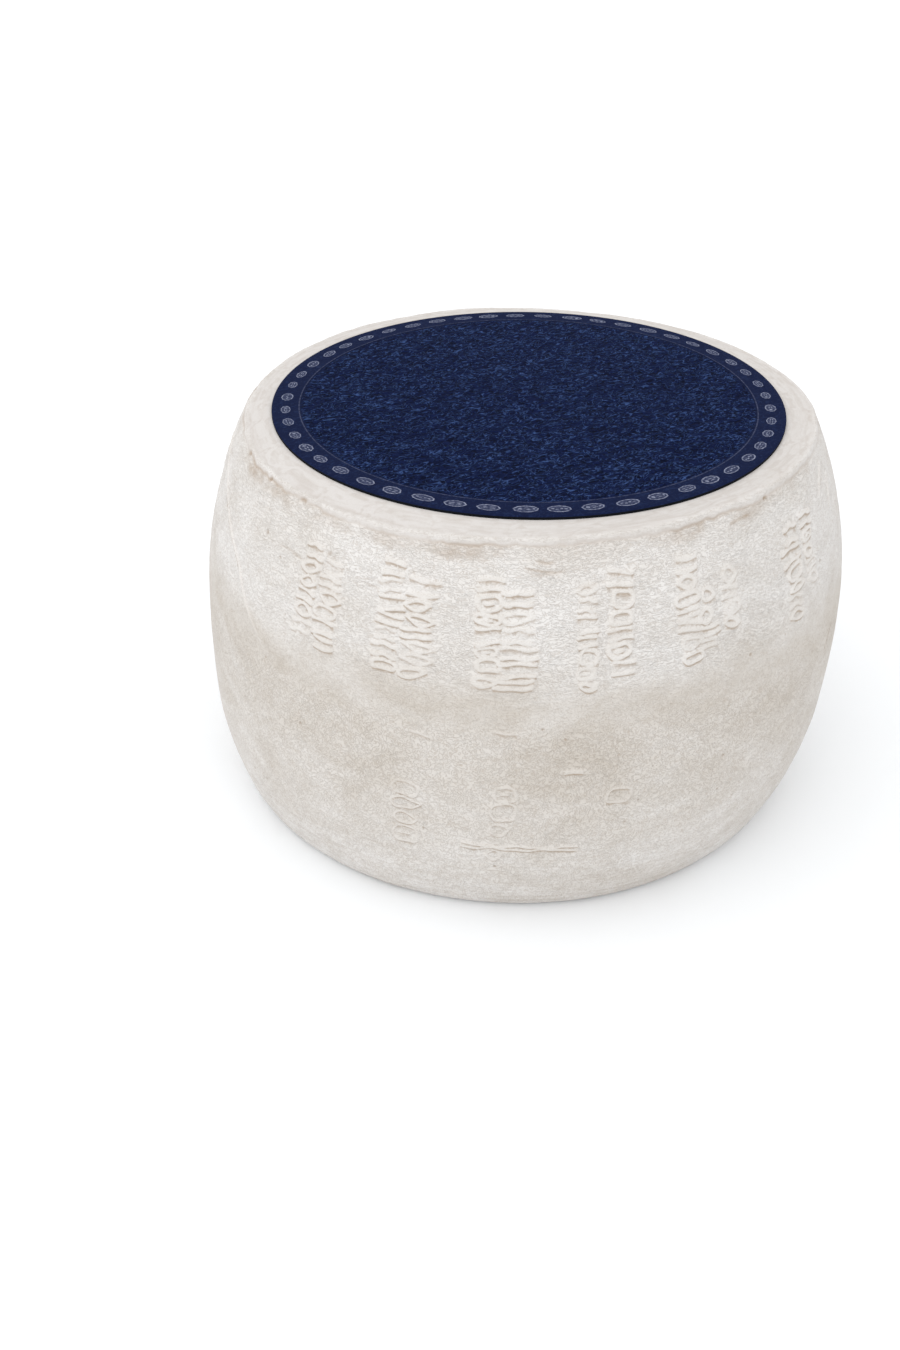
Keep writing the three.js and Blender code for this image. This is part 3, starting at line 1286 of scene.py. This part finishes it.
        # Painted shade in a band under the lip.
        under_lip_shade = patchy * bell(past_lip, 3.5 * MM, 3 * MM) * (1 + ragged)
        # All the painted shade together: under ledges, in the lip's crease, under the lip, in the groove
        # behind it and in its nicks.
        all_painted_shade = painted_shade * on_side + 0.6 * crease + 0.4 * under_lip_shade + 0.2 * gutter + 0.6 * missing

        bare_face = smooth_step(form.flat_radius, form.flat_radius + 3 * MM, radius)
        heave = 0.45 * soft_noise(points, 42 * MM, 3) + 0.2 * soft_noise(points, 14 * MM, 4)
        creases = 1 - 2 * np.abs(soft_noise(points, (8 * MM, 8 * MM, 4 * MM), 6))
        unevenness = heave * bare_face + lip + self.wrinkle * creases * on_side
        skin_height = relief + sunk * on_side + MM * unevenness * standing
        write_attribute(rind, "relief", np.clip(relief / self.full_relief, 0, 1))
        write_attribute(rind, "painted_shade", np.clip(all_painted_shade, 0, 1))
        # The smooth upper face takes a darker tone as painted shade against its stronger light; the rolled
        # lip is kept out of it, so it shows paler as a painted highlight.
        write_attribute(rind, "smooth_face_shade", (1 - on_side) * (1 - 0.7 * roll) * (z > form.height / 2))
        write_points(rind, form.settle(points) + normals * skin_height[:, None])


@dataclass(frozen=True)
class Label:
    """The leatherette disc on the upper face: a grained field, a pressed line and a smooth border.

    Attributes:
        form: The wheel under it.
        cells: How many faces it has across.
        crumple: Height of its wrinkles.
        grain: Height of the fine grain between them.
        swell: How far it lifts off the level here and there.
        edge_round: Radius of its edge.
        edge_turn: How much of the quarter round the edge makes before it falls straight.
        border_shade: How fully the border takes its own smooth look.
    """

    form: WheelForm
    cells: int = 284
    border_width: float = 18.2 * MM
    line_width: float = 1.3 * MM
    line_depth: float = 0.35 * MM
    crumple: float = 0.09 * MM
    grain: float = 0.06 * MM
    swell: float = 0.12 * MM
    edge_round: float = 0.5 * MM
    edge_turn: float = 0.95
    border_shade: float = 0.85

    @property
    def top(self) -> float:
        """Height of the label's face."""
        return self.form.height + self.form.label_thickness

    @property
    def line_radius(self) -> float:
        """Radius of the pressed line between the field and the border."""
        return self.form.label_radius - self.border_width

    def build(self) -> bpy.types.Object:
        """Make the label, dress it and let it stand for the plain disc."""
        label = self.cut_disc()
        border = self.press_face(label)
        self.fold_edge(label)
        padding = len(label.data.vertices) - len(border)
        border = np.pad(border, (0, padding), constant_values=1)
        write_attribute(label, "border", self.border_shade * border)
        select_only(label)
        bpy.ops.object.shade_smooth_by_angle(angle=math.radians(40))
        label.data.materials.append(NavyLeatherette().make())
        label.data.materials.append(CUT_EDGE.make())
        for face in label.data.polygons:
            if face.normal.z < 0.5 and face.center.z < self.top - 0.2 * MM:
                face.material_index = 1
        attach(label, "root")
        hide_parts("top_label")
        return label

    def cut_disc(self) -> bpy.types.Object:
        """Add a fine grid and round it into a disc whose rings stay rings."""
        bpy.ops.object.select_all(action="DESELECT")
        bpy.ops.mesh.primitive_grid_add(x_subdivisions=self.cells, y_subdivisions=self.cells, size=2)
        disc = bpy.context.object
        disc.name = disc.data.name = "leatherette_label"
        x, y, _ = read_rows(disc.data.vertices, "co").T
        ring = np.maximum(np.abs(x), np.abs(y))
        wide = np.abs(x) >= np.abs(y)
        turn = np.pi / 4 * np.where(wide, y, x) / np.where(ring > 0, np.where(wide, x, y), 1)
        across, along = ring * np.cos(turn), ring * np.sin(turn)
        sign = np.sign(np.where(wide, x, y))
        flat_x = np.where(wide, sign * across, sign * along)
        flat_y = np.where(wide, sign * along, sign * across)
        write_points(disc, np.column_stack([flat_x, flat_y, 0 * x]) * self.form.label_radius)
        return disc

    def press_face(self, label: bpy.types.Object) -> np.ndarray:
        """Press the grain and the line into the face, and lift it to its height on the wheel.

        Args:
            label: The flat disc.

        Returns:
            For each vertex 0 in the field and 1 in the border.
        """
        form = self.form
        points = read_rows(label.data.vertices, "co")
        radius = np.hypot(points[:, 0], points[:, 1])
        border = smooth_step(self.line_radius - self.line_width, self.line_radius, radius)
        inside = smooth_step(form.label_radius, form.label_radius - 3 * MM, radius)
        crumple = 1 - 2 * np.abs(soft_noise(points, (6 * MM, 3.2 * MM, 1), 21))
        z = self.crumple * crumple * (1 - border)
        z += self.grain * soft_noise(points, (3.4 * MM, 2.2 * MM, 1), 22) * (1 - border)
        z += self.swell * soft_noise(points, 30 * MM, 23) * inside * (1 - border)
        z -= self.line_depth * smooth_step(self.line_width / 2, 0, np.abs(radius - self.line_radius))
        over = np.clip((radius - form.label_radius + self.edge_round) / self.edge_round, 0, 1)
        z -= self.edge_round * (1 - np.sqrt(1 - self.edge_turn * over**2))
        points[:, 2] = z + self.top
        points[:, :2] += form.axis
        write_points(label, points)
        return border

    def fold_edge(self, label: bpy.types.Object) -> None:
        """Extrude the cut edge down to the wheel and close the underside.

        Args:
            label: The pressed disc.
        """
        select_only(label)
        bpy.ops.object.mode_set(mode="EDIT")
        bpy.ops.mesh.select_mode(type="EDGE")
        bpy.ops.mesh.select_all(action="DESELECT")
        bpy.ops.mesh.select_non_manifold()
        drop = self.form.label_thickness - self.edge_round * (1 - math.sqrt(1 - self.edge_turn))
        bpy.ops.mesh.extrude_region_move(TRANSFORM_OT_translate={"value": (0, 0, -drop)})
        bpy.ops.mesh.edge_face_add()
        bpy.ops.object.mode_set(mode="OBJECT")


@dataclass(frozen=True)
class BorderPrint:
    """Foil stamped on the label's border: a ring of small oval tokens and a thin circle inside them.

    Attributes:
        label: The label under it.
        count: How many tokens there are.
        front_stretch: How much longer they are at the front and back, and shorter at the sides.
        back_taper: How much narrower they are at the back than at the front.
        stroke: Width of their outlines and dashes.
        edge_inset: How far their middles lie from the label's edge.
        thickness: Thickness of the stamp.
        showing: How much of it stands above the label.
        mark_corners: Corners of each dot and dash.
        seed: Picks one of many layouts.
    """

    label: Label
    count: int = 49
    token_length: float = 12.6 * MM
    token_width: float = 8.6 * MM
    front_stretch: float = 0.12
    back_taper: float = 0.35
    stroke: float = 0.75 * MM
    edge_inset: float = 9.0 * MM
    thickness: float = 0.1 * MM
    showing: float = 0.05 * MM
    mark_corners: int = 8
    circle_width: float = 0.8 * MM
    circle_corners: int = 240
    seed: int = 8

    def build(self) -> bpy.types.Object:
        """Stamp the circle and every token, and join them into one piece."""
        draw = np.random.default_rng(self.seed)
        foil, base = FOIL.make(), FOIL_BASE.make()
        kinds = [self.stamp_token(corners, marks, foil, base) for corners, marks in self.token_kinds()]
        circle = self.stamp_circle(base)
        copies = []
        for i in range(self.count):
            kind = kinds[draw.integers(len(kinds))]
            token = kind.copy()
            token.data = kind.data.copy()
            bpy.context.scene.collection.objects.link(token)
            turn = 2 * math.pi * (i + draw.uniform(-0.05, 0.05)) / self.count
            away = self.label.form.label_radius - self.edge_inset + draw.uniform(-0.3, 0.3) * MM
            token.location += Vector((away * math.sin(turn), -away * math.cos(turn), 0))
            token.rotation_euler.z = turn + draw.uniform(-0.07, 0.07)
            stretch = 1 + self.front_stretch * math.cos(2 * turn)
            taper = 1 + self.back_taper * (math.cos(turn) - 1) / 2
            token.scale = (stretch * draw.uniform(0.9, 1.06), taper * draw.uniform(0.85, 1.08), 1)
            copies.append(token)
        for kind in kinds:
            bpy.data.objects.remove(kind)
        select_only(circle, *copies)
        bpy.ops.object.join()
        bpy.ops.object.transform_apply(location=True)
        circle.name = circle.data.name = "label_border_print"
        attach(circle, "root")
        return circle

    def token_kinds(self) -> list[tuple[int, list[Oval]]]:
        """Corners of each kind of token, and the dots and dashes in it."""
        dot, dash = (1.7 * MM, 1.3 * MM, 0.0), (3.4 * MM, self.stroke, 4.0)
        dots = [(x * MM, y * MM, *dot) for x, y in ((-3.3, 0.2), (-1.1, -0.5), (1.1, 0.5), (3.3, 0))]
        rows = [(x * MM, y * MM, *dash) for x, y in ((-2.1, 0.9), (2.1, 0.9), (-1.9, -1), (2, -1))]
        mixed = [
            (-2.8 * MM, 0.0, 2.2 * MM, 2.6 * MM, 0.0),
            (0.6 * MM, 1.0 * MM, 3.0 * MM, self.stroke, -6.0),
            (1.0 * MM, -0.9 * MM, 3.4 * MM, self.stroke, 8.0),
            (3.8 * MM, 0.2 * MM, 1.2 * MM, 1.8 * MM, 0.0),
        ]
        return [(11, dots), (8, rows), (9, mixed)]

    def stamp_token(
        self, corners: int, marks: list[Oval], foil: bpy.types.Material, base: bpy.types.Material
    ) -> bpy.types.Object:
        """Stamp one kind of token: an oval outline round a dim ground, with small marks on it.

        Args:
            corners: Number of the outline's corners.
            marks: The marks inside it.
            foil: What the outline and the marks are made of.
            base: What the ground is made of.

        Returns:
            The token, in the middle of the label.
        """
        token = self.stamp_oval((0, 0, self.token_length, self.token_width, 0), corners, foil)
        token.data.materials.append(base)
        select_faces(token, np.array([face.normal.z > 0.5 for face in token.data.polygons]))
        bpy.ops.mesh.inset(thickness=self.stroke, depth=-0.6 * self.showing)
        bpy.context.object.active_material_index = 1
        bpy.ops.object.material_slot_assign()
        bpy.ops.object.mode_set(mode="OBJECT")
        select_only(token, *(self.stamp_oval(mark, self.mark_corners, foil) for mark in marks))
        bpy.ops.object.join()
        return token

    def stamp_oval(self, shape: Oval, corners: int, foil: bpy.types.Material) -> bpy.types.Object:
        """Stamp a thin oval, pressed a little into the label.

        Args:
            shape: The x and y of its middle from the label's, its length and width, and its turn in degrees.
            corners: Number of its corners.
            foil: What it is made of.

        Returns:
            The oval.
        """
        x, y, length, width, degrees = shape
        bpy.ops.object.select_all(action="DESELECT")
        bpy.ops.mesh.primitive_cylinder_add(
            vertices=corners, radius=0.5, depth=self.thickness, scale=(length, width, 1)
        )
        oval = bpy.context.object
        bpy.ops.object.transform_apply(scale=True)
        middle = Vector((*self.label.form.axis, self.label.top + self.showing - self.thickness / 2))
        oval.rotation_euler.z = math.radians(degrees)
        oval.location = middle + Vector((x, y, 0))
        oval.data.materials.append(foil)
        return oval

    def stamp_circle(self, base: bpy.types.Material) -> bpy.types.Object:
        """Stamp the thin circle at the inner edge of the border.

        Args:
            base: What it is made of.

        Returns:
            The circle.
        """
        outer = self.label.line_radius + self.label.line_width / 2 + self.circle_width
        circle = self.stamp_oval((0, 0, 2 * outer, 2 * outer, 0), self.circle_corners, base)
        select_faces(circle, np.array([abs(face.normal.z) > 0.5 for face in circle.data.polygons]))
        bpy.ops.mesh.inset(thickness=self.circle_width)
        bpy.ops.mesh.bridge_edge_loops()
        bpy.ops.object.mode_set(mode="OBJECT")
        return circle


@dataclass(frozen=True)
class Studio:
    """A white floor, even light, a broad soft sun from the upper left, and the camera."""

    form: WheelForm
    lens: float = 40.03
    eye: tuple[float, float, float] = (0.0, -890.2 * MM, 375.1 * MM)
    aim: tuple[float, float, float] = (-49 * MM, 0.0, -210.1 * MM)
    floor_size: float = 24.0
    sky: float = 0.97
    sun: float = 0.95
    sun_elevation: float = 55
    sun_azimuth: float = -34
    sun_spread: float = 90

    def build(self) -> None:
        """Set out the floor, the light and the camera."""
        self.lay_floor()
        self.light()
        self.place_camera()
        bpy.context.scene.view_settings.view_transform = "Standard"

    def lay_floor(self) -> None:
        """Lay a wide sheet of white card."""
        bpy.ops.object.select_all(action="DESELECT")
        bpy.ops.mesh.primitive_plane_add(size=self.floor_size)
        floor = bpy.context.object
        floor.name = floor.data.name = "floor"
        floor.data.materials.append(WHITE_CARD.make())

    def light(self) -> None:
        """Fill the room with even light and add the soft sun."""
        world = bpy.data.worlds.new("even_light")
        world.use_nodes = True
        background = world.node_tree.nodes["Background"]
        background.inputs["Color"].default_value = (1, 1, 1, 1)
        background.inputs["Strength"].default_value = self.sky
        bpy.context.scene.world = world
        lamp = bpy.data.lights.new("soft_sun", "SUN")
        lamp.energy = self.sun
        lamp.angle = math.radians(self.sun_spread)
        sun = bpy.data.objects.new("soft_sun", lamp)
        bpy.context.scene.collection.objects.link(sun)
        up, turn = math.radians(self.sun_elevation), math.radians(self.sun_azimuth)
        level = math.cos(up)
        towards = Vector((level * math.sin(turn), -level * math.cos(turn), math.sin(up)))
        sun.rotation_euler = towards.to_track_quat("Z", "Y").to_euler()

    def place_camera(self) -> None:
        """Stand the camera where it looks down on the label at about 23 degrees."""
        lens = bpy.data.cameras.new("camera")
        lens.lens = self.lens
        camera = bpy.data.objects.new("camera", lens)
        bpy.context.scene.collection.objects.link(camera)
        middle = Vector((*self.form.axis, self.form.height + self.form.label_thickness))
        camera.location = middle + Vector(self.eye)
        aim = middle + Vector(self.aim)
        camera.rotation_euler = (aim - camera.location).to_track_quat("-Z", "Y").to_euler()
        bpy.context.scene.camera = camera


def main() -> None:
    """Build the wheel, its label and the studio."""
    logging.basicConfig(level=logging.INFO, format="%(message)s")
    form = WheelForm.from_frame()
    label = Label(form)
    Studio(form).build()
    for part in (label, BorderPrint(label), Rind(form, MouldMarks(), SkinWear())):
        piece = part.build()
        log.info("%s: %d vertices, %d faces", piece.name, len(piece.data.vertices), len(piece.data.polygons))


if __name__ == "__main__":
    main()
